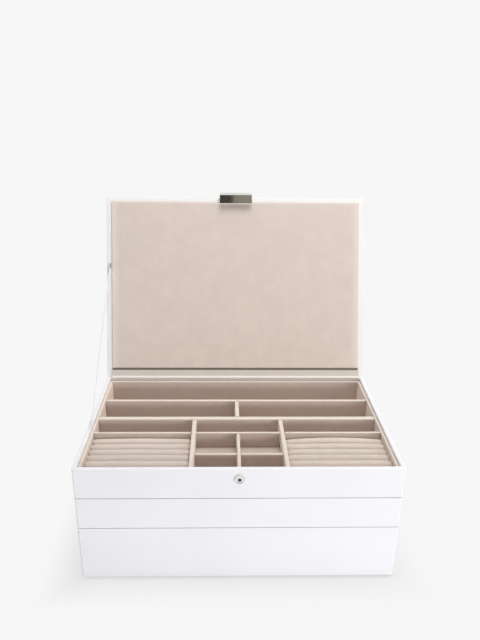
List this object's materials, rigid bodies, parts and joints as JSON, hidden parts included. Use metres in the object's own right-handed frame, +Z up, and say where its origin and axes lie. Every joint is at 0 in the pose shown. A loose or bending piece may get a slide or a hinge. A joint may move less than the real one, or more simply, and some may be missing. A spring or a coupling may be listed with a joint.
{
  "type": "tiered jewelry box",
  "caption": "Stacking jewelry box in pale leatherette: velvet-lined divided trays, ring rolls, padded hinged lid with ribbon stay and a hasp that drops over a stud.",
  "frame": {"origin": "centre of the bottom tray's base board, on the surface that the box stands on", "axes": "+Z up through the stack of trays, -Y towards the front with the stud and hasp, +X to the right seen from the front"},
  "size_m": [0.365, 0.3679, 0.3895],
  "materials": {
    "leatherette": "satin",
    "velvet": "matt",
    "pad_velvet": "matt",
    "roll_velvet": "matt",
    "ribbon": "satin",
    "nickel": "polished",
    "dark_metal": "dark"
  },
  "bodies": {
    "bottom_tray": {"bottom_back_divider_1": "velvet", "bottom_liner": "velvet", "bottom_long_divider": "velvet", "bottom_plinth": "velvet", "bottom_shell": "leatherette"},
    "middle_tray": {"middle_back_divider_1": "velvet", "middle_back_divider_2": "velvet", "middle_front_divider_1": "velvet", "middle_front_divider_2": "velvet", "middle_front_divider_3": "velvet", "middle_liner": "velvet", "middle_long_divider": "velvet", "middle_plinth": "velvet", "middle_shell": "leatherette"},
    "top_tray": {"back_divider": "velvet", "cell_cross_divider_left": "velvet", "cell_cross_divider_right": "velvet", "cell_long_divider": "velvet", "front_row_divider_left": "velvet", "front_row_divider_middle": "velvet", "front_row_divider_right": "velvet", "hinge_lining": "leatherette", "hinge_spine": "leatherette", "left_column_divider": "velvet", "main_divider": "velvet", "raised_floor": "velvet", "ribbon_stay": "ribbon", "right_column_divider": "velvet", "ring_roll_left_1": "roll_velvet", "ring_roll_left_2": "roll_velvet", "ring_roll_left_3": "roll_velvet", "ring_roll_left_4": "roll_velvet", "ring_roll_left_5": "roll_velvet", "ring_roll_left_6": "roll_velvet", "ring_roll_right_1": "roll_velvet", "ring_roll_right_2": "roll_velvet", "ring_roll_right_3": "roll_velvet", "ring_roll_right_4": "roll_velvet", "ring_roll_right_5": "roll_velvet", "ring_roll_right_6": "roll_velvet", "second_row_divider": "velvet", "stud_core": "dark_metal", "stud_ring": "nickel", "top_liner": "velvet", "top_plinth": "velvet", "top_shell": "leatherette"},
    "lid": {"hasp_leaf": "nickel", "hasp_rivet_left": "nickel", "hasp_rivet_right": "nickel", "lid_board": "leatherette", "lid_pad": "pad_velvet"},
    "hasp": {"hasp_pin": "nickel", "hasp_plate": "nickel", "hasp_magnet": "dark_metal"}
  },
  "joints": [
    {"name": "middle_tray_lift", "type": "slide", "parent": "bottom_tray", "child": "middle_tray", "axis": [0, 0, 1], "range_m": [0, 0.08]},
    {"name": "top_tray_lift", "type": "slide", "parent": "middle_tray", "child": "top_tray", "axis": [0, 0, 1], "range_m": [0, 0.08]},
    {"name": "lid_hinge", "type": "hinge", "parent": "top_tray", "child": "lid", "pos_m": [0, 0.127, 0.1492], "axis": [1, 0, 0], "range_deg": [0, 113], "deforming": ["ribbon_stay", "hinge_spine", "hinge_lining"]},
    {"name": "hasp_swing", "type": "hinge", "parent": "lid", "child": "hasp", "pos_m": [0, 0.22978, 0.38749], "axis": [-1, 0, 0], "range_deg": [0, 56.69]}
  ],
  "couplings": [
    {"joint": "hasp_swing", "follows": "lid_hinge", "ratio": 0.50157}
  ]
}
